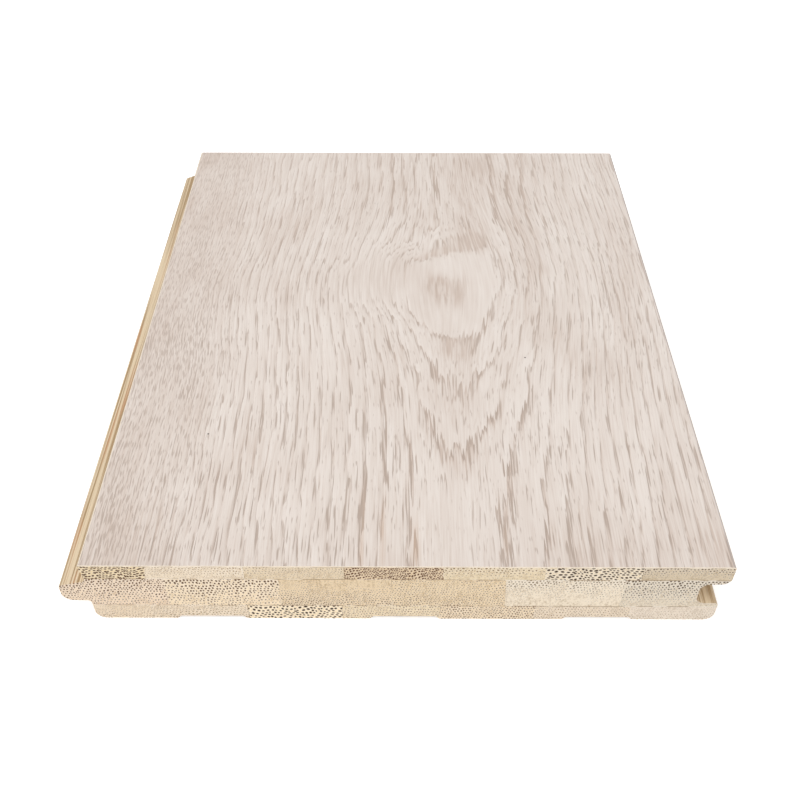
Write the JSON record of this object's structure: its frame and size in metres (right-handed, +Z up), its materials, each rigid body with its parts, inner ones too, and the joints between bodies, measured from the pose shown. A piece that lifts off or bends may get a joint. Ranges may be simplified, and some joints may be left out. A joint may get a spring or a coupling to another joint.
{
  "type": "wide plank floorboard",
  "caption": "Short length of wide tongue and groove floorboard: glued bamboo strips under a pale limed wood face, grooved across its far end, with shallow relief channels beneath.",
  "frame": {"origin": "middle of the underside of the overall box, tongue included, on the floor that the board lies on", "axes": "+X across the board from the tongue edge to the groove edge, +Y along the board and its grain from the sawn end to the grooved end, +Z up through the face"},
  "size_m": [0.1352, 0.162, 0.018],
  "materials": {
    "limed_veneer": "matte",
    "bamboo": "matte"
  },
  "bodies": {
    "root": {"face_veneer": "limed_veneer", "top_strip_1": "bamboo", "top_strip_2": "bamboo", "top_strip_3": "bamboo", "top_strip_4": "bamboo", "top_strip_5": "bamboo", "top_strip_6": "bamboo", "top_strip_7": "bamboo", "core_strip_1": "bamboo", "core_strip_2": "bamboo", "core_strip_3": "bamboo", "core_strip_4": "bamboo", "core_strip_5": "bamboo", "core_strip_6": "bamboo", "base_strip_1": "bamboo", "base_strip_2": "bamboo", "base_strip_3": "bamboo", "base_strip_4": "bamboo", "base_strip_5": "bamboo", "base_strip_6": "bamboo", "base_strip_7": "bamboo"}
  },
  "joints": []
}
